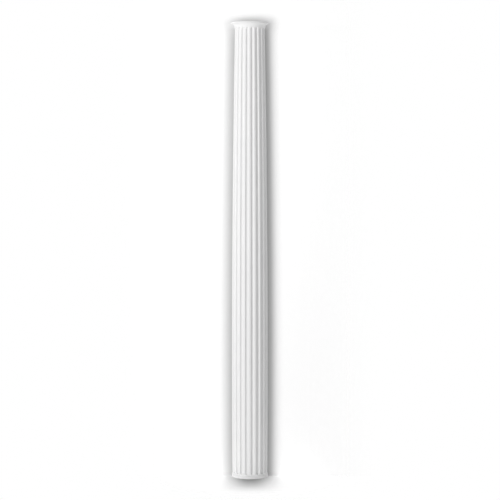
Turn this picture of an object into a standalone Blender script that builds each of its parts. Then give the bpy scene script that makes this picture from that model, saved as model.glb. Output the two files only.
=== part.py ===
"""Fluted shaft of an engaged half column, moulded in one piece with its rim, flare and foot band.

Metres, +Z up. The front bulges towards -Y, the flat back is the +Y face, and the origin is the centre of
the bounding box at the underside.
"""
import math

import bmesh
import bpy

# Heights, from the underside up
HEIGHT = 2.000
BAND_HEIGHT = 0.011        # plain band round the foot
QUIRK_HEIGHT = 0.0012      # fine groove between the band and the shaft
COVE_HEIGHT = 0.008        # small cove where the shaft spreads onto the band
BELLY_HEIGHT = 0.445       # where the shaft is thickest
FLARE_HEIGHT = 0.0245      # cove under the rim
RIM_HEIGHT = 0.0058        # upright edge at the very top

# Radii of the plain shaft, measured over the fillets
FOOT_RADIUS = 0.0774
BELLY_RADIUS = 0.0793
NECK_RADIUS = 0.0653

# How far the mouldings stand out from the shaft
RIM_OVERHANG = 0.0170
FLARE_STEP = 0.0010        # the rim stands this much beyond the flare's edge
BAND_OVERHANG = 0.0025
QUIRK_DEPTH = 0.0012

# Flutes: widths and depth at the belly, which taper with the shaft
FLUTES = 10
FLUTE_WIDTH = 0.0172
FLUTE_DEPTH = 0.0084
EDGE_STRIP = 0.0038        # plain strip between the last flute and the wall
FLUTE_FOOT_GAP = 0.0042    # from the quirk up to the flutes' lower tips
FLUTE_HEAD_GAP = 0.0167    # from the rim's underside down to the flutes' upper tips

# How finely the curves are drawn
FLUTE_STEPS = 8
FILLET_STEPS = 2
SHAFT_STEPS = 10
TIP_STEPS = 5
FLARE_STEPS = 6
COVE_STEPS = 3
MERGE_DISTANCE = 0.00001

PRIMER_COLOUR = (0.86, 0.86, 0.85, 1.0)
PRIMER_ROUGHNESS = 0.6

# Worked out from the sizes above
RIM_FOOT_Z = HEIGHT - RIM_HEIGHT
NECK_Z = RIM_FOOT_Z - FLARE_HEIGHT
SHAFT_FOOT_Z = BAND_HEIGHT + QUIRK_HEIGHT
RIM_RADIUS = NECK_RADIUS + RIM_OVERHANG
BAND_RADIUS = FOOT_RADIUS + BAND_OVERHANG
BACK_Y = max(RIM_RADIUS, BAND_RADIUS, BELLY_RADIUS) / 2
FLUTE_ANGLE = FLUTE_WIDTH / BELLY_RADIUS
STRIP_ANGLE = EDGE_STRIP / BELLY_RADIUS
FILLET_ANGLE = (math.pi - 2 * STRIP_ANGLE - FLUTES * FLUTE_ANGLE) / (FLUTES - 1)
UPPER_TIP_Z = RIM_FOOT_Z - FLUTE_HEAD_GAP
LOWER_TIP_Z = SHAFT_FOOT_Z + FLUTE_FOOT_GAP


def clear_scene():
    for obj in list(bpy.data.objects):
        bpy.data.objects.remove(obj)


def primer_material():
    material = bpy.data.materials.new("white_primer")
    material.use_nodes = True
    shader = material.node_tree.nodes["Principled BSDF"]
    shader.inputs["Base Color"].default_value = PRIMER_COLOUR
    shader.inputs["Roughness"].default_value = PRIMER_ROUGHNESS
    shader.inputs["Metallic"].default_value = 0.0
    return material


def entasis(z):
    """Radius of the plain shaft: one parabola from the belly up, another down to the foot."""
    if z > BELLY_HEIGHT:
        share = (z - BELLY_HEIGHT) / (NECK_Z - BELLY_HEIGHT)
        return BELLY_RADIUS - (BELLY_RADIUS - NECK_RADIUS) * share ** 2
    share = (BELLY_HEIGHT - z) / (BELLY_HEIGHT - SHAFT_FOOT_Z)
    return BELLY_RADIUS - (BELLY_RADIUS - FOOT_RADIUS) * share ** 2


def hollow(share):
    """Quarter of an ellipse: 0 where it leaves the shaft upright, 1 where it ends level."""
    return 1 - math.sqrt(max(0.0, 1 - share ** 2))


def radius_at(z):
    """Radius over the fillets, from the top of the quirk to the underside of the rim."""
    cove_top = SHAFT_FOOT_Z + COVE_HEIGHT
    if z < cove_top:
        return entasis(z) + BAND_OVERHANG * hollow((cove_top - z) / COVE_HEIGHT)
    if z > NECK_Z:
        return NECK_RADIUS + (RIM_OVERHANG - FLARE_STEP) * hollow((z - NECK_Z) / FLARE_HEIGHT)
    return entasis(z)


def flute_half_width(radius):
    return radius * FLUTE_ANGLE / 2


def scoop(share, half_width):
    """Depth of a flute at a share of its half width from its centre line: an arc of a circle."""
    depth = FLUTE_DEPTH * half_width / (FLUTE_WIDTH / 2)
    arc = (half_width ** 2 + depth ** 2) / (2 * depth)
    return math.sqrt(arc ** 2 - (share * half_width) ** 2) - (arc - depth)


def shaft_heights():
    """Rows up the fluted shaft: close together over the flutes' round tips, far apart between."""
    low_reach = flute_half_width(radius_at(LOWER_TIP_Z))
    high_reach = flute_half_width(radius_at(UPPER_TIP_Z))
    turns = [math.pi / 2 * i / TIP_STEPS for i in range(TIP_STEPS + 1)]
    lower = [LOWER_TIP_Z + low_reach * (1 - math.cos(t)) for t in turns]
    upper = [UPPER_TIP_Z - high_reach * (1 - math.cos(t)) for t in reversed(turns)]
    span = upper[0] - lower[-1]
    between = [lower[-1] + span * i / SHAFT_STEPS for i in range(1, SHAFT_STEPS)]
    return lower + between + upper


def past_tip_centre(z):
    """How far a row lies beyond the centre of the flutes' round ends: 0 before it, 1 at the tip."""
    if z > BELLY_HEIGHT:
        reach = flute_half_width(radius_at(UPPER_TIP_Z))
        return min(1.0, max(0.0, (z - (UPPER_TIP_Z - reach)) / reach))
    reach = flute_half_width(radius_at(LOWER_TIP_Z))
    return min(1.0, max(0.0, (LOWER_TIP_Z + reach - z) / reach))


def flute_centres():
    pitch = FLUTE_ANGLE + FILLET_ANGLE
    return [(i - (FLUTES - 1) / 2) * pitch for i in range(FLUTES)]


def ring(z, radius, fluted):
    """Points round the front at one height, from the -X wall edge to the +X one."""
    beyond = past_tip_centre(z) if fluted else 0.0
    closing = math.sqrt(1 - beyond ** 2)
    half_angle = FLUTE_ANGLE / 2 * closing
    angles = [-math.pi / 2]
    depths = [0.0]
    last_edge = -math.pi / 2
    for centre in flute_centres():
        near_edge = centre - half_angle
        for i in range(1, FILLET_STEPS):
            angles.append(last_edge + (near_edge - last_edge) * i / FILLET_STEPS)
            depths.append(0.0)
        for i in range(FLUTE_STEPS + 1):
            across = math.sin(math.pi / 2 * (2 * i / FLUTE_STEPS - 1))
            share = min(1.0, math.hypot(across * closing, beyond))
            angles.append(centre + half_angle * across)
            depths.append(scoop(share, flute_half_width(radius)) if fluted else 0.0)
        last_edge = centre + half_angle
    for i in range(1, FILLET_STEPS + 1):
        angles.append(last_edge + (math.pi / 2 - last_edge) * i / FILLET_STEPS)
        depths.append(0.0)
    return [((radius - d) * math.sin(a), BACK_Y - (radius - d) * math.cos(a), z)
            for a, d in zip(angles, depths)]


def rings():
    """Every ring of the shaft, from the underside to the top."""
    quirk_radius = BAND_RADIUS - QUIRK_DEPTH
    rows = [ring(0.0, BAND_RADIUS, False), ring(BAND_HEIGHT, BAND_RADIUS, False)]
    rows += [ring(BAND_HEIGHT, quirk_radius, False), ring(SHAFT_FOOT_Z, quirk_radius, False)]
    rows.append(ring(SHAFT_FOOT_Z, radius_at(SHAFT_FOOT_Z), False))
    for i in range(1, COVE_STEPS):
        z = SHAFT_FOOT_Z + (LOWER_TIP_Z - SHAFT_FOOT_Z) * i / COVE_STEPS
        rows.append(ring(z, radius_at(z), False))
    for z in shaft_heights():
        rows.append(ring(z, radius_at(z), True))
    for i in range(FLARE_STEPS + 1):
        z = NECK_Z + FLARE_HEIGHT * math.sin(math.pi / 2 * i / FLARE_STEPS)
        if z > UPPER_TIP_Z + MERGE_DISTANCE:
            rows.append(ring(z, radius_at(z), False))
    rows += [ring(RIM_FOOT_Z, RIM_RADIUS, False), ring(HEIGHT, RIM_RADIUS, False)]
    return rows


def half_column_shaft(material):
    """One closed skin: the rings joined in turn, then the flat back, the underside and the top."""
    mesh = bpy.data.meshes.new("half_column_shaft")
    bm = bmesh.new()
    rows = [[bm.verts.new(point) for point in row] for row in rings()]
    for lower, upper in zip(rows, rows[1:]):
        for i in range(len(lower) - 1):
            bm.faces.new((lower[i], lower[i + 1], upper[i + 1], upper[i]))
        bm.faces.new((lower[-1], lower[0], upper[0], upper[-1]))
    bm.faces.new(list(reversed(rows[0])))
    bm.faces.new(rows[-1])
    bmesh.ops.remove_doubles(bm, verts=bm.verts, dist=MERGE_DISTANCE)
    bmesh.ops.recalc_face_normals(bm, faces=bm.faces)
    bm.to_mesh(mesh)
    bm.free()
    mesh.materials.append(material)
    mesh.shade_smooth()
    mesh.set_sharp_from_angle(angle=math.radians(30))
    shaft = bpy.data.objects.new("half_column_shaft", mesh)
    bpy.context.scene.collection.objects.link(shaft)
    return shaft


clear_scene()
half_column_shaft(primer_material())
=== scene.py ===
"""Fluted half column shaft: a moulded half round shaft in white primer, in a plain pale studio.

The shaft is modelled in the packed solid's place: one flute is drawn on a net and copied round the half
turn, and the rim, flare and foot band are raised from the ends. Metres, +Z up; the back is the +Y face.
"""
import math

import bmesh
import bpy
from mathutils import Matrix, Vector


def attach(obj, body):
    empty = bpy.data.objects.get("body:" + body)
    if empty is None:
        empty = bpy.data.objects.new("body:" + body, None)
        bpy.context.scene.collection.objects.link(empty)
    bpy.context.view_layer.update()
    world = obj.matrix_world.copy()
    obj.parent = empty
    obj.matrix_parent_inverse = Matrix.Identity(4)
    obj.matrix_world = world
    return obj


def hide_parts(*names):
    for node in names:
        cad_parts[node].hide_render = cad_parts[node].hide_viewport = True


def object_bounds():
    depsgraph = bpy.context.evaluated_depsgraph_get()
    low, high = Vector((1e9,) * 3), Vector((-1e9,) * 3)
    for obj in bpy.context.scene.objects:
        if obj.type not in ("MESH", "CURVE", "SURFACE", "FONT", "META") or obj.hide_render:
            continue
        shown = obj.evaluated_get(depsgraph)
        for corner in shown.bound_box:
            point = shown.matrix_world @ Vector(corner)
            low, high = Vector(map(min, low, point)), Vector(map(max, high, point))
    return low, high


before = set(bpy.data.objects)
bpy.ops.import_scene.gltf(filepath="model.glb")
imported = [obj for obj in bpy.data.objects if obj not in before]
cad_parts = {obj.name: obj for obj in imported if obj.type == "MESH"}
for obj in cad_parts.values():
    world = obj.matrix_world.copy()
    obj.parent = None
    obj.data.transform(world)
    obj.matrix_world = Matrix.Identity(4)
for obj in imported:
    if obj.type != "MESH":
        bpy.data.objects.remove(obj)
CAD_LOW, CAD_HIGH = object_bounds()

bl_info = {
    "name": "Fluted Half Column Shaft",
    "version": (1, 0, 0),
    "blender": (4, 5, 0),
    "location": "3D Viewport > Sidebar > Half Column",
    "description": "Builds a moulded half column shaft with flutes, rim, flare and foot band",
    "category": "Add Mesh",
}

NODE = "half_column_shaft"
BODY = "root"

# Net of one flute, with half a fillet on either side: how many steps each stretch has
HOLLOW_STEPS = 10
ARRIS_STEPS = 5
FILLET_STEPS = 2
SHAFT_ROWS = 14
TIP_GATHER = 0.2           # columns draw together to this share of their width at a flute's tip
SPREAD_ROWS = 4            # rows over which they spread out again beyond the tip
NET_OVERRUN = 0.25         # share of the gap at the head that the net covers above the upper tips
WELD = 0.000005            # points closer than this are one

# Mouldings raised from the ends of the net
FLARE_ROWS = 12
EDGE_SEGMENTS = 3
BEVEL_ANGLE = 50           # degrees: only the edges of the mouldings and the back are sharper
SMOOTH_ANGLE = 40          # degrees

# Coat of primer
NOISE_MIDDLE = (0.3, 0.7)  # the part of a noise that is stretched to the full range
MOTTLE = (0.07, 5.0)       # size of the blotches in metres, and detail
SHEEN = (0.016, 4.0)
SHEEN_SPREAD = 0.07        # how far the roughness strays to either side of its middle
PEBBLE_DETAIL = 3.0
PEBBLE_STRENGTH = 0.25
PEBBLE_HEIGHT = 0.00006
PRIMER_SPECULAR = 0.4

# Pale wall and floor, which fade into the background between two distances from the shaft's middle line
WHITE = (1.0, 1.0, 1.0, 1.0)
BLACK = (0.0, 0.0, 0.0, 1.0)
PALE_ROUGHNESS = 0.9
WALL_WIDTH = 1.6           # to either side of the shaft
WALL_ABOVE = 0.8           # above its top
WALL_ROWS = 20             # rows of its grid up the shaft
COVE_ROWS = (0.25, 0.5, 1.0)    # rows beside the small cove, as shares of the cove's height
WALL_FADE = (0.15, 0.60)
FLOOR_STEP = 0.04
FLOOR_ROWS = 15
FLOOR_GAP = 0.0003         # between the floor and the shaft's underside
FLOOR_FADE = (0.15, 0.55)
HORIZON = 0.1              # how softly the ground's glow turns into the sky's

# Painted soft shade round the shaft, darkening wall and floor: how far it reaches to either side of its
# edge, sideways and upright, and how much lower its edges lie than the shaft's underside and top
SHADE_STRENGTH = 1.12
SHADE_ASIDE = 0.070
SHADE_UPRIGHT = 0.049
SHADE_STEPS = 6            # steps of the grid over each reach
SHADE_DROP = (0.034, 0.004)
SHADE_SHIFT = 0.0025       # to the right
SHADE_DRAW_IN = 0.35       # how fast it gets narrower below the rim
SHADE_THROWN_BACK = 0.5    # how much of it is felt by the light that wall and floor throw back
SHADE_STRETCH = 5.05       # how much further it reaches out over the floor than down the wall

# Lights: azimuth (0 is the viewer's side, minus is to the left) and elevation in degrees, distance from
# the middle of the shaft, width and height
KEY_LIGHT = (-41.0, 8.0, 4.0, 1.1, 2.6)
HIGH_LIGHT = (-30.0, 34.0, 4.0, 1.6, 1.6)
BACK_LIGHT = (150.0, 15.0, 4.0, 2.8, 2.6)


class HalfColumnSizes(bpy.types.PropertyGroup):
    """Sizes of the shaft"""

    height: bpy.props.FloatProperty(
        name="Height", description="Overall height of the shaft",
        default=CAD_HIGH.z - CAD_LOW.z, min=0.3, unit="LENGTH")
    foot_radius: bpy.props.FloatProperty(
        name="Foot radius", description="Radius over the fillets just above the foot band",
        default=0.0774, min=0.02, unit="LENGTH")
    belly_radius: bpy.props.FloatProperty(
        name="Belly radius", description="Radius over the fillets where the shaft is thickest",
        default=0.0793, min=0.02, unit="LENGTH")
    belly_height: bpy.props.FloatProperty(
        name="Belly height", description="Height at which the shaft is thickest",
        default=0.445, min=0.1, unit="LENGTH")
    neck_radius: bpy.props.FloatProperty(
        name="Neck radius", description="Radius over the fillets just below the flare",
        default=0.0653, min=0.02, unit="LENGTH")
    rim_radius: bpy.props.FloatProperty(
        name="Rim radius", description="Radius of the upright edge at the top",
        default=CAD_HIGH.x, min=0.02, unit="LENGTH")
    rim_height: bpy.props.FloatProperty(
        name="Rim height", description="Height of the upright edge at the top",
        default=0.0058, min=0.001, unit="LENGTH")
    flare_height: bpy.props.FloatProperty(
        name="Flare height", description="Height of the hollow moulding under the rim",
        default=0.0245, min=0.002, unit="LENGTH")
    flare_step: bpy.props.FloatProperty(
        name="Flare step", description="How far the rim stands out beyond the flare's edge",
        default=0.001, min=0.0001, unit="LENGTH")
    band_height: bpy.props.FloatProperty(
        name="Band height", description="Height of the plain band round the foot",
        default=0.011, min=0.002, unit="LENGTH")
    band_overhang: bpy.props.FloatProperty(
        name="Band overhang", description="How far the foot band stands out from the shaft",
        default=0.0025, min=0.0, unit="LENGTH")
    cove_height: bpy.props.FloatProperty(
        name="Cove height", description="Height of the small cove above the foot band",
        default=0.008, min=0.001, unit="LENGTH")
    quirk_size: bpy.props.FloatProperty(
        name="Quirk", description="Height and depth of the fine groove above the foot band",
        default=0.0012, min=0.0003, unit="LENGTH")
    edge_round: bpy.props.FloatProperty(
        name="Edge rounding", description="Rounding of the rim, the band and the wall edges",
        default=0.0003, min=0.0001, unit="LENGTH")


class HalfColumnFlutes(bpy.types.PropertyGroup):
    """Sizes of the flutes, at the belly"""

    count: bpy.props.IntProperty(
        name="Flutes", description="Number of flutes round the half turn", default=10, min=2)
    width: bpy.props.FloatProperty(
        name="Flute width", description="Width of a flute between its arrises",
        default=0.0172, min=0.002, unit="LENGTH")
    depth: bpy.props.FloatProperty(
        name="Flute depth", description="Depth of a flute at its middle",
        default=0.0084, min=0.001, unit="LENGTH")
    arris_round: bpy.props.FloatProperty(
        name="Arris rounding", description="Radius of the soft edge between flute and fillet",
        default=0.0009, min=0.0001, unit="LENGTH")
    head_gap: bpy.props.FloatProperty(
        name="Gap at the head", description="From the rim's underside down to the flutes' upper tips",
        default=0.0167, min=0.002, unit="LENGTH")
    foot_gap: bpy.props.FloatProperty(
        name="Gap at the foot", description="From the quirk up to the flutes' lower tips",
        default=0.0042, min=0.0005, unit="LENGTH")


class HalfColumnPrimer(bpy.types.PropertyGroup):
    """Look of the white primer"""

    colour: bpy.props.FloatVectorProperty(
        name="Colour", description="Colour of the primer", subtype="COLOR", size=3,
        min=0.0, max=1.0, default=(0.86, 0.86, 0.86))
    shade: bpy.props.FloatVectorProperty(
        name="Mottle", description="Slightly darker tone that drifts through the primer",
        subtype="COLOR", size=3, min=0.0, max=1.0, default=(0.845, 0.845, 0.845))
    roughness: bpy.props.FloatProperty(
        name="Roughness", description="Middle roughness of the primer",
        subtype="FACTOR", min=0.0, max=1.0, default=0.55)
    grain: bpy.props.FloatProperty(
        name="Grain", description="Size of the sprayed coat's fine pebbling",
        default=0.0012, min=0.0002, unit="LENGTH")


class HalfColumnStage(bpy.types.PropertyGroup):
    """Floor, wall, background, light and camera"""

    floor_colour: bpy.props.FloatVectorProperty(
        name="Floor", description="Colour of the floor", subtype="COLOR", size=3,
        min=0.0, max=1.0, default=(0.85, 0.85, 0.85))
    floor_glow: bpy.props.FloatProperty(
        name="Floor glow", description="Light that the floor gives off by itself, to keep it pale",
        min=0.0, default=0.50)
    wall_colour: bpy.props.FloatVectorProperty(
        name="Wall", description="Colour of the wall that the shaft stands against",
        subtype="COLOR", size=3, min=0.0, max=1.0, default=(0.92, 0.92, 0.92))
    wall_glow: bpy.props.FloatProperty(
        name="Wall glow", description="Light that the wall gives off by itself, to keep it pale",
        min=0.0, default=0.215)
    backdrop: bpy.props.FloatProperty(
        name="Backdrop", description="Brightness of the background behind the shaft",
        subtype="FACTOR", min=0.0, max=1.0, default=1.0)
    sky_glow: bpy.props.FloatProperty(
        name="Sky glow", description="Strength of the soft light from above", min=0.0, default=0.31)
    ground_glow: bpy.props.FloatProperty(
        name="Ground glow", description="Strength of the soft light from the pale ground all round",
        min=0.0, default=0.74)
    key_power: bpy.props.FloatProperty(
        name="Key light", description="Power of the upright light at the left",
        subtype="POWER", min=0.0, default=71.5)
    high_power: bpy.props.FloatProperty(
        name="High light", description="Power of the light high up at the left",
        subtype="POWER", min=0.0, default=17.0)
    back_power: bpy.props.FloatProperty(
        name="Back light",
        description="Power of the light behind the wall, which lights only the flat back",
        subtype="POWER", min=0.0, default=60.0)
    camera_distance: bpy.props.FloatProperty(
        name="Camera distance", description="From the shaft to the camera",
        default=7.085, min=0.5, unit="LENGTH")
    camera_side: bpy.props.FloatProperty(
        name="Camera to the side",
        description="How far the camera stands to the right of the shaft's middle",
        default=0.0005, unit="LENGTH")
    eye_height: bpy.props.FloatProperty(
        name="Eye height", description="Height of the camera above the floor",
        default=1.404, min=0.0, unit="LENGTH")
    camera_tilt: bpy.props.FloatProperty(
        name="Camera tilt", description="How far the camera looks down",
        default=math.radians(3.211), unit="ROTATION", subtype="ANGLE")
    lens: bpy.props.FloatProperty(
        name="Lens", description="Focal length in millimetres, on a 36 mm wide sensor",
        default=116.6, min=10.0)


def sizes():
    return bpy.context.scene.half_column_sizes


def flutes():
    return bpy.context.scene.half_column_flutes


def wall_y():
    """The wall plane: the flat back of the packed solid."""
    return CAD_HIGH.y


def rim_foot_z():
    return sizes().height - sizes().rim_height


def neck_z():
    return rim_foot_z() - sizes().flare_height


def head_tip_z():
    return rim_foot_z() - flutes().head_gap


def net_overrun():
    return flutes().head_gap * NET_OVERRUN


def net_top_z():
    """Upper end of the fluted net, a little above the flutes' tips."""
    return head_tip_z() + net_overrun()


def shaft_foot_z():
    return sizes().band_height + sizes().quirk_size


def entasis(z):
    """Radius of the plain shaft: one parabola from the belly up, another down to the foot."""
    size = sizes()
    if z > size.belly_height:
        share = (z - size.belly_height) / (neck_z() - size.belly_height)
        return size.belly_radius - (size.belly_radius - size.neck_radius) * share ** 2
    share = (size.belly_height - z) / (size.belly_height - shaft_foot_z())
    return size.belly_radius - (size.belly_radius - size.foot_radius) * share ** 2


def hollow(share):
    """Quarter of an ellipse: 0 where it leaves the shaft upright, 1 where it ends level."""
    return 1 - math.sqrt(max(0.0, 1 - share ** 2))


def radius_at(z):
    """Radius over the fillets, with the small cove at the foot and the flare under the rim."""
    size = sizes()
    cove_top = shaft_foot_z() + size.cove_height
    if z < cove_top:
        return entasis(z) + size.band_overhang * hollow((cove_top - z) / size.cove_height)
    if z > neck_z():
        overhang = size.rim_radius - size.flare_step - size.neck_radius
        return size.neck_radius + overhang * hollow((z - neck_z()) / size.flare_height)
    return entasis(z)


class FluteShape:
    """Cross-section of a flute at the belly: a hollow arc, then a soft arris onto the fillet."""

    def __init__(self):
        flute = flutes()
        half = flute.width / 2
        self.arc = (half ** 2 + flute.depth ** 2) / (2 * flute.depth)
        self.lift = self.arc - flute.depth
        self.arris = flute.arris_round
        reach = self.arc + self.arris
        self.edge = math.sqrt(reach ** 2 - (self.arris + self.lift) ** 2)
        self.turn = math.asin(self.edge / reach)
        self.meet = self.arc * math.sin(self.turn)

    def depth_at(self, distance):
        if distance <= self.meet:
            return math.sqrt(self.arc ** 2 - distance ** 2) - self.lift
        if distance < self.edge:
            return self.arris - math.sqrt(self.arris ** 2 - (self.edge - distance) ** 2)
        return 0.0

    def steps(self):
        """Distances from the middle of the flute to the outer edge of its arris."""
        hollow_part = [self.arc * math.sin(self.turn * i / HOLLOW_STEPS)
                       for i in range(HOLLOW_STEPS + 1)]
        arris_part = [self.edge - self.arris * math.sin(self.turn * (1 - i / ARRIS_STEPS))
                      for i in range(1, ARRIS_STEPS + 1)]
        return hollow_part + arris_part


def pitch_angle():
    return math.pi / flutes().count


def half_pitch():
    """Distance round the belly from the middle of a flute to the middle of a fillet beside it."""
    return sizes().belly_radius * pitch_angle() / 2


def scale_at(z):
    """Size of the flutes at one height, as a share of their size at the belly."""
    return radius_at(z) / sizes().belly_radius


def column_offsets(shape):
    """Places of the net's columns across one flute and half a fillet on either side."""
    fillet = half_pitch() - shape.edge
    side = shape.steps()
    side += [shape.edge + fillet * i / FILLET_STEPS for i in range(1, FILLET_STEPS + 1)]
    return [-x for x in reversed(side[1:])] + side


def tips(shape):
    """Centres of the round ends, lower then upper, and the scale of the flute at each."""
    low_tip = shaft_foot_z() + flutes().foot_gap
    high_tip = head_tip_z()
    low_scale, high_scale = scale_at(low_tip), scale_at(high_tip)
    low_end = (low_tip + shape.edge * low_scale, low_scale)
    high_end = (high_tip - shape.edge * high_scale, high_scale)
    return low_end, high_end


def row_heights(shape):
    """Heights of the net's rows: close together over the round ends, far apart between them."""
    (low_centre, low_scale), (high_centre, high_scale) = tips(shape)
    steps = shape.steps()
    lower = [low_centre - x * low_scale for x in reversed(steps)]
    upper = [high_centre + x * high_scale for x in steps]
    span = upper[0] - lower[-1]
    between = [lower[-1] + span * i / SHAFT_ROWS for i in range(1, SHAFT_ROWS)]
    under = [shaft_foot_z() + (lower[0] - shaft_foot_z()) * i / SPREAD_ROWS for i in range(SPREAD_ROWS)]
    over = [upper[-1] + (net_top_z() - upper[-1]) * i / SPREAD_ROWS for i in range(1, SPREAD_ROWS + 1)]
    return under + lower + between + upper + over


def gather(beyond, edge, run_out):
    """Share of their full spacing that the columns keep, a distance beyond the centre of a round end."""
    if beyond <= 0:
        return 1.0
    if beyond <= edge:
        return math.sqrt(1 - (1 - TIP_GATHER ** 2) * (beyond / edge) ** 2)
    share = min(1.0, (beyond - edge) / run_out)
    return TIP_GATHER + (1 - TIP_GATHER) * share * share * (3 - 2 * share)


def point_on_shaft(offset, z, shape, ends):
    """A point of the first flute's net, which lies at the left edge, sunk to the flute's hollow."""
    (low_centre, low_scale), (high_centre, high_scale) = ends
    if z < low_centre:
        beyond, run_out = (low_centre - z) / low_scale, flutes().foot_gap
    else:
        beyond, run_out = max(0.0, (z - high_centre) / high_scale), net_overrun()
    drawn = gather(beyond, shape.edge, run_out)
    if abs(offset) <= shape.edge:
        across = offset * drawn
    else:
        share = (abs(offset) - shape.edge) / (half_pitch() - shape.edge)
        inner = shape.edge * drawn
        across = math.copysign(inner + (half_pitch() - inner) * share, offset)
    radius = radius_at(z) - shape.depth_at(math.hypot(across, beyond)) * scale_at(z)
    angle = across / sizes().belly_radius - (math.pi - pitch_angle()) / 2
    return Vector((radius * math.sin(angle), wall_y() - radius * math.cos(angle), z))


def clear_selection():
    if bpy.context.object and bpy.context.object.mode != "OBJECT":
        bpy.ops.object.mode_set(mode="OBJECT")
    bpy.ops.object.select_all(action="DESELECT")


def select_edges(obj, wanted):
    """In edit mode, selects the edges for which wanted(edge) is true and nothing else."""
    bpy.ops.mesh.select_mode(type="EDGE")
    bpy.ops.mesh.select_all(action="DESELECT")
    mesh = bmesh.from_edit_mesh(obj.data)
    for edge in mesh.edges:
        if wanted(edge):
            edge.select_set(True)
    bmesh.update_edit_mesh(obj.data)


def select_open_end(obj, z):
    """Selects the open end that lies at one height, without the edges on the wall plane."""
    def at_end(edge):
        level = all(abs(vert.co.z - z) < WELD for vert in edge.verts)
        return edge.is_boundary and level and min(vert.co.y for vert in edge.verts) < wall_y() - WELD
    select_edges(obj, at_end)


def add_flute_net():
    """One flute with half a fillet on either side, drawn on a grid that is wrapped onto the shaft."""
    shape = FluteShape()
    offsets, heights, ends = column_offsets(shape), row_heights(shape), tips(shape)
    columns, rows = len(offsets) - 1, len(heights) - 1
    bpy.ops.mesh.primitive_grid_add(x_subdivisions=columns, y_subdivisions=rows, size=1.0)
    net = bpy.context.object
    for vert in net.data.vertices:
        column = round((vert.co.x + 0.5) * columns)
        row = round((vert.co.y + 0.5) * rows)
        vert.co = point_on_shaft(offsets[column], heights[row], shape, ends)
    return net


def spin_round_half_turn(net):
    """In edit mode, spins copies of the first flute round to the right wall edge and welds them."""
    bpy.ops.mesh.select_all(action="SELECT")
    bpy.ops.mesh.spin(
        steps=flutes().count - 1, dupli=True, angle=pitch_angle() - math.pi,
        center=(0.0, wall_y(), 0.0), axis=(0.0, 0.0, 1.0))
    bpy.ops.mesh.select_all(action="SELECT")
    bpy.ops.mesh.remove_doubles(threshold=WELD)


def raise_moulding(obj, outline):
    """Extrudes an open end along an outline of (height, radius), scaling each ring to its radius."""
    select_open_end(obj, outline[0][0])
    for (from_z, from_radius), (to_z, to_radius) in zip(outline, outline[1:]):
        factor = to_radius / from_radius
        bpy.ops.mesh.extrude_region_move(TRANSFORM_OT_translate={"value": (0, 0, to_z - from_z)})
        bpy.ops.transform.resize(value=(factor, factor, 1.0), center_override=(0.0, wall_y(), to_z))


def rim_outline():
    """The rest of the flare's hollow, its little step and the upright rim."""
    size = sizes()
    start = math.asin(max(0.0, net_top_z() - neck_z()) / size.flare_height)
    turns = [start + (math.pi / 2 - start) * i / FLARE_ROWS for i in range(FLARE_ROWS + 1)]
    heights = [neck_z() + size.flare_height * math.sin(turn) for turn in turns]
    rim = [(rim_foot_z(), size.rim_radius), (size.height, size.rim_radius)]
    return [(z, radius_at(z)) for z in heights] + rim


def foot_outline():
    """The quirk under the cove, then the plain band down to the underside."""
    size = sizes()
    band_radius = size.foot_radius + size.band_overhang
    groove_radius = band_radius - size.quirk_size
    return [(shaft_foot_z(), band_radius), (shaft_foot_z(), groove_radius),
            (size.band_height, groove_radius), (size.band_height, band_radius), (0.0, band_radius)]


def close_shell(obj):
    """Closes the top and the underside, then the flat back, whose outline is the last open edge."""
    for z in (sizes().height, 0.0):
        select_open_end(obj, z)
        bpy.ops.mesh.edge_face_add()
    select_edges(obj, lambda edge: edge.is_boundary)
    bpy.ops.mesh.edge_face_add()
    bpy.ops.mesh.select_all(action="SELECT")
    bpy.ops.mesh.normals_make_consistent(inside=False)


def soften_edges(obj):
    """Rounds the edges of the mouldings and the back, and lets the large faces rule the shading."""
    bevel = obj.modifiers.new("soft edges", "BEVEL")
    bevel.width = sizes().edge_round
    bevel.segments = EDGE_SEGMENTS
    bevel.limit_method = "ANGLE"
    bevel.angle_limit = math.radians(BEVEL_ANGLE)
    bpy.ops.object.modifier_apply(modifier=bevel.name)
    bpy.ops.object.shade_smooth_by_angle(angle=math.radians(SMOOTH_ANGLE))
    weighted = obj.modifiers.new("weighted normals", "WEIGHTED_NORMAL")
    weighted.keep_sharp = True
    bpy.ops.object.modifier_apply(modifier=weighted.name)


def add_node(tree, kind, **values):
    node = tree.nodes.new(kind)
    for name, value in values.items():
        setattr(node, name, value)
    return node


def add_noise(tree, place, size, detail):
    """Noise with blotches of about the given size in metres."""
    node = add_node(tree, "ShaderNodeTexNoise")
    node.inputs["Scale"].default_value = 1.0 / size
    node.inputs["Detail"].default_value = detail
    tree.links.new(place, node.inputs["Vector"])
    return node.outputs["Fac"]


def add_range(tree, value, span, low, high, **values):
    """Turns the values between the two ends of a span into a range from low to high."""
    node = add_node(tree, "ShaderNodeMapRange", **values)
    for name, number in zip(("From Min", "From Max", "To Min", "To Max"), (*span, low, high)):
        node.inputs[name].default_value = number
    tree.links.new(value, node.inputs["Value"])
    return node.outputs["Result"]


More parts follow.
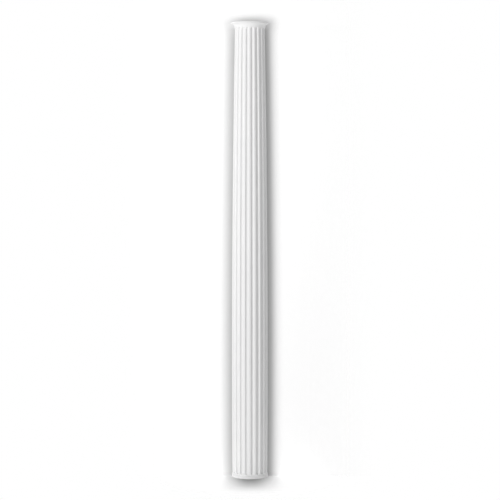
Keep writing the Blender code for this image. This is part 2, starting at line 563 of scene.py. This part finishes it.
def primer_material():
    """White primer: a faint drift of tone, an uneven sheen and the fine pebbling of a sprayed coat."""
    look = bpy.context.scene.half_column_primer
    material = bpy.data.materials.new("white_primer")
    material.use_nodes = True
    tree = material.node_tree
    shader = tree.nodes["Principled BSDF"]
    shader.inputs["Specular IOR Level"].default_value = PRIMER_SPECULAR
    place = add_node(tree, "ShaderNodeTexCoord").outputs["Object"]

    tone = add_node(tree, "ShaderNodeMix", data_type="RGBA")
    tone.inputs["A"].default_value = (*look.shade, 1.0)
    tone.inputs["B"].default_value = (*look.colour, 1.0)
    mottle = add_range(tree, add_noise(tree, place, *MOTTLE), NOISE_MIDDLE, 0.0, 1.0)
    tree.links.new(mottle, tone.inputs["Factor"])
    tree.links.new(tone.outputs["Result"], shader.inputs["Base Color"])

    sheen = add_range(tree, add_noise(tree, place, *SHEEN), NOISE_MIDDLE,
                      look.roughness - SHEEN_SPREAD, look.roughness + SHEEN_SPREAD)
    tree.links.new(sheen, shader.inputs["Roughness"])

    bump = add_node(tree, "ShaderNodeBump")
    bump.inputs["Strength"].default_value = PEBBLE_STRENGTH
    bump.inputs["Distance"].default_value = PEBBLE_HEIGHT
    tree.links.new(add_noise(tree, place, look.grain, PEBBLE_DETAIL), bump.inputs["Height"])
    tree.links.new(bump.outputs["Normal"], shader.inputs["Normal"])
    return material


def fade_from_shaft(tree, place, fade):
    """1 close to the shaft's middle line, falling to 0 between two distances from it.

    Beside the shaft only x and y count, and over its top the height above it counts too.
    """
    over_top = add_node(tree, "ShaderNodeVectorMath", operation="SUBTRACT")
    over_top.inputs[1].default_value = (0.0, 0.0, sizes().height)
    tree.links.new(place, over_top.inputs[0])
    beside = add_node(tree, "ShaderNodeVectorMath", operation="MAXIMUM")
    beside.inputs[1].default_value = (-WALL_WIDTH, -WALL_WIDTH, 0.0)
    tree.links.new(over_top.outputs["Vector"], beside.inputs[0])
    distance = add_node(tree, "ShaderNodeVectorMath", operation="LENGTH")
    tree.links.new(beside.outputs["Vector"], distance.inputs[0])
    return add_range(
        tree, distance.outputs["Value"], fade, 1.0, 0.0, interpolation_type="SMOOTHERSTEP")


def pale_material(name, colour, glow, fade):
    """Pale surface darkened by the painted soft shade stored on it, fading out away from the shaft.

    It is seen from its front only, and the light it throws back feels just a part of the painted shade.
    """
    material = bpy.data.materials.new(name)
    material.use_nodes = True
    tree = material.node_tree
    shader = tree.nodes["Principled BSDF"]
    shader.inputs["Roughness"].default_value = PALE_ROUGHNESS
    shader.inputs["Emission Strength"].default_value = glow
    tone = add_node(tree, "ShaderNodeMix", data_type="RGBA")
    tone.inputs["A"].default_value = (*colour, 1.0)
    tone.inputs["B"].default_value = BLACK
    # painted shade stored on each point darkens the colour and the glow alike
    stored = add_node(tree, "ShaderNodeAttribute", attribute_name="shade").outputs["Fac"]
    seen = add_node(tree, "ShaderNodeLightPath").outputs["Is Camera Ray"]
    felt = add_range(tree, seen, (0.0, 1.0), SHADE_THROWN_BACK, 1.0)
    shade = add_node(tree, "ShaderNodeMath", operation="MULTIPLY", use_clamp=True)
    tree.links.new(stored, shade.inputs[0])
    tree.links.new(felt, shade.inputs[1])
    tree.links.new(shade.outputs["Value"], tone.inputs["Factor"])
    for socket in ("Base Color", "Emission Color"):
        tree.links.new(tone.outputs["Result"], shader.inputs[socket])
    place = add_node(tree, "ShaderNodeTexCoord").outputs["Object"]
    cover = add_node(tree, "ShaderNodeMath", operation="SUBTRACT", use_clamp=True)
    tree.links.new(fade_from_shaft(tree, place, fade), cover.inputs[0])
    tree.links.new(add_node(tree, "ShaderNodeNewGeometry").outputs["Backfacing"], cover.inputs[1])
    tree.links.new(cover.outputs["Value"], shader.inputs["Alpha"])
    return material


def studio_world():
    """Soft light from all round, and a plain pale background where the camera looks past the shaft."""
    look = bpy.context.scene.half_column_stage
    world = bpy.data.worlds.new("pale_studio")
    world.use_nodes = True
    tree = world.node_tree
    direction = add_node(tree, "ShaderNodeTexCoord").outputs["Generated"]
    axes = add_node(tree, "ShaderNodeSeparateXYZ")
    tree.links.new(direction, axes.inputs["Vector"])
    glow = add_range(tree, axes.outputs["Z"], (-HORIZON, HORIZON), look.ground_glow, look.sky_glow)
    ambient = tree.nodes["Background"]
    ambient.inputs["Color"].default_value = WHITE
    tree.links.new(glow, ambient.inputs["Strength"])
    backdrop = add_node(tree, "ShaderNodeBackground")
    backdrop.inputs["Color"].default_value = WHITE
    backdrop.inputs["Strength"].default_value = look.backdrop
    seen = add_node(tree, "ShaderNodeLightPath").outputs["Is Camera Ray"]
    mix = add_node(tree, "ShaderNodeMixShader")
    tree.links.new(seen, mix.inputs["Fac"])
    tree.links.new(ambient.outputs["Background"], mix.inputs[1])
    tree.links.new(backdrop.outputs["Background"], mix.inputs[2])
    tree.links.new(mix.outputs["Shader"], tree.nodes["World Output"].inputs["Surface"])
    bpy.context.scene.world = world


def back_outline():
    """Outline of the shaft's flat back, as (height, half width) from the underside to the top."""
    foot = list(reversed(foot_outline()))
    low, high = foot[-1][0], rim_outline()[0][0]
    cove = [low + sizes().cove_height * share for share in COVE_ROWS]
    turns = [math.pi * i / WALL_ROWS for i in range(1, WALL_ROWS)]
    shaft = [low + (high - low) * (1 - math.cos(turn)) / 2 for turn in turns]
    return foot + [(z, radius_at(z)) for z in cove + shaft] + rim_outline()


def soft_edge(distance, reach):
    """Share of the painted shade that is left at a distance past its edge, or short of it when below 0.
    """
    share = min(1.0, abs(distance) / reach)
    left = (1 - share) ** 2 * (1 + share) / 2
    return left if distance > 0 else 1 - left


def painted_shade_at(beside, level):
    """Painted soft shade at a distance beside the shaft's outline and at a level on the wall."""
    foot_drop, top_drop = SHADE_DROP
    beyond = max(level - (sizes().height - top_drop), -foot_drop - level)
    return SHADE_STRENGTH * soft_edge(beside, SHADE_ASIDE) * soft_edge(beyond, SHADE_UPRIGHT)


def add_pale_sheet(name, rows):
    """Sheet that bears a painted soft shade, from rows of (y, z, the shaft's half width, level of the
    shade).

    Also gives the numbers of the points that lie within the shaft's outline.
    """
    clear_selection()
    size = sizes()
    reach = [SHADE_ASIDE * i / SHADE_STEPS for i in range(-SHADE_STEPS, SHADE_STEPS + 1)]
    columns = [(1, beside) for beside in reach + [WALL_WIDTH]]
    columns = [(-side, beside) for side, beside in reversed(columns)] + columns
    bpy.ops.mesh.primitive_grid_add(
        x_subdivisions=len(columns) - 1, y_subdivisions=len(rows) - 1, size=1.0)
    sheet = bpy.context.object
    sheet.name = sheet.data.name = name
    # painted shade, stored on each point, which the pale material darkens its colour by
    shade = sheet.data.attributes.new("shade", "FLOAT", "POINT")
    within = set()
    for vert in sheet.data.vertices:
        side, beside = columns[round((vert.co.x + 0.5) * (len(columns) - 1))]
        y, z, half_width, level = rows[round((vert.co.y + 0.5) * (len(rows) - 1))]
        vert.co = Vector((side * (half_width + beside), y, z))
        under_rim = size.rim_radius - SHADE_DRAW_IN * abs(size.height - level)
        wider = max(0.0, under_rim - half_width) + side * SHADE_SHIFT
        shade.data[vert.index].value = painted_shade_at(beside - wider, level)
        if beside <= 0:
            within.add(vert.index)
    return sheet, within


def add_wall():
    """Wall in the plane of the flat back, cut out where the back is so that light reaches it too."""
    height = sizes().height
    rows = [(wall_y(), z, half_width, z) for z, half_width in back_outline()]
    above = [SHADE_UPRIGHT * i / SHADE_STEPS for i in range(1, SHADE_STEPS + 1)] + [WALL_ABOVE]
    rows += [(wall_y(), height + step, sizes().rim_radius, height + step) for step in above]
    wall, within = add_pale_sheet("pale_wall", rows)
    bpy.ops.object.mode_set(mode="EDIT")
    bpy.ops.mesh.select_mode(type="FACE")
    bpy.ops.mesh.select_all(action="DESELECT")
    mesh = bmesh.from_edit_mesh(wall.data)
    for face in mesh.faces:
        below_top = face.calc_center_median().z < height
        face.select_set(below_top and all(vert.index in within for vert in face.verts))
    bmesh.update_edit_mesh(wall.data)
    bpy.ops.mesh.delete(type="FACE")
    bpy.ops.object.mode_set(mode="OBJECT")
    return wall


def add_floor():
    """Floor in front of the wall, with painted shade as if the wall's painted shade went on below it."""
    half_width = foot_outline()[-1][1]
    distances = [FLOOR_STEP * i for i in reversed(range(FLOOR_ROWS + 1))]
    rows = [(wall_y() - away, -FLOOR_GAP, half_width, -away / SHADE_STRETCH) for away in distances]
    floor, _ = add_pale_sheet("pale_floor", rows)
    return floor


def add_soft_light(name, place, power):
    """A large light turned to the middle of the shaft."""
    azimuth, elevation, distance, width, tall = place
    around, up = math.radians(azimuth), math.radians(elevation)
    shaft_middle = Vector((0.0, 0.0, sizes().height / 2))
    away = Vector((math.sin(around) * math.cos(up), -math.cos(around) * math.cos(up), math.sin(up)))
    bpy.ops.object.light_add(type="AREA", location=shaft_middle + away * distance)
    light = bpy.context.object
    light.name = light.data.name = name
    light.data.shape = "RECTANGLE"
    light.data.size = width
    light.data.size_y = tall
    light.data.energy = power
    light.rotation_euler = away.to_track_quat("Z", "Y").to_euler()
    light.visible_camera = False


def add_camera():
    look = bpy.context.scene.half_column_stage
    bpy.ops.object.camera_add(
        location=(look.camera_side, -look.camera_distance, look.eye_height),
        rotation=(math.pi / 2 - look.camera_tilt, 0.0, 0.0))
    camera = bpy.context.object
    camera.data.lens = look.lens
    camera.data.dof.use_dof = False
    bpy.context.scene.camera = camera


class HALFCOLUMN_OT_shaft(bpy.types.Operator):
    """Models the fluted shaft with its rim, flare and foot band"""

    bl_idname = "halfcolumn.shaft"
    bl_label = "Fluted Shaft"
    bl_options = {"REGISTER", "UNDO"}

    def execute(self, context):
        clear_selection()
        shaft = add_flute_net()
        shaft.name = shaft.data.name = "fluted_shaft"
        bpy.ops.object.mode_set(mode="EDIT")
        spin_round_half_turn(shaft)
        raise_moulding(shaft, rim_outline())
        raise_moulding(shaft, foot_outline())
        close_shell(shaft)
        bpy.ops.object.mode_set(mode="OBJECT")
        soften_edges(shaft)
        shaft.data.materials.append(primer_material())
        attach(shaft, BODY)
        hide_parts(NODE)
        return {"FINISHED"}


class HALFCOLUMN_OT_stage(bpy.types.Operator):
    """Sets up the pale floor and wall, the background, the soft lights and the camera"""

    bl_idname = "halfcolumn.stage"
    bl_label = "Studio Stage"
    bl_options = {"REGISTER", "UNDO"}

    def execute(self, context):
        look = context.scene.half_column_stage
        floor = add_floor()
        floor.data.materials.append(
            pale_material("pale_floor", look.floor_colour, look.floor_glow, FLOOR_FADE))
        wall = add_wall()
        wall.data.materials.append(
            pale_material("pale_wall", look.wall_colour, look.wall_glow, WALL_FADE))
        studio_world()
        add_soft_light("key", KEY_LIGHT, look.key_power)
        add_soft_light("high", HIGH_LIGHT, look.high_power)
        add_soft_light("back", BACK_LIGHT, look.back_power)
        add_camera()
        context.scene.view_settings.view_transform = "Standard"
        return {"FINISHED"}


class HALFCOLUMN_PT_panel(bpy.types.Panel):
    """Lists the half column's steps and sizes"""

    bl_idname = "HALFCOLUMN_PT_panel"
    bl_label = "Half Column"
    bl_space_type = "VIEW_3D"
    bl_region_type = "UI"
    bl_category = "Half Column"

    def draw(self, context):
        layout = self.layout
        for operator in OPERATORS:
            layout.operator(operator.bl_idname)
        for group, place in PROPERTY_GROUPS.items():
            box = layout.box()
            box.label(text=group.__doc__)
            for name in group.__annotations__:
                box.prop(getattr(context.scene, place), name)


OPERATORS = (HALFCOLUMN_OT_shaft, HALFCOLUMN_OT_stage)
PROPERTY_GROUPS = {
    HalfColumnSizes: "half_column_sizes",
    HalfColumnFlutes: "half_column_flutes",
    HalfColumnPrimer: "half_column_primer",
    HalfColumnStage: "half_column_stage",
}


def register():
    for group, place in PROPERTY_GROUPS.items():
        bpy.utils.register_class(group)
        setattr(bpy.types.Scene, place, bpy.props.PointerProperty(type=group))
    for operator in OPERATORS:
        bpy.utils.register_class(operator)
    bpy.utils.register_class(HALFCOLUMN_PT_panel)


def unregister():
    bpy.utils.unregister_class(HALFCOLUMN_PT_panel)
    for operator in reversed(OPERATORS):
        bpy.utils.unregister_class(operator)
    for group, place in PROPERTY_GROUPS.items():
        delattr(bpy.types.Scene, place)
        bpy.utils.unregister_class(group)


def main():
    register()
    bpy.ops.halfcolumn.shaft()
    bpy.ops.halfcolumn.stage()


if __name__ == "__main__":
    main()
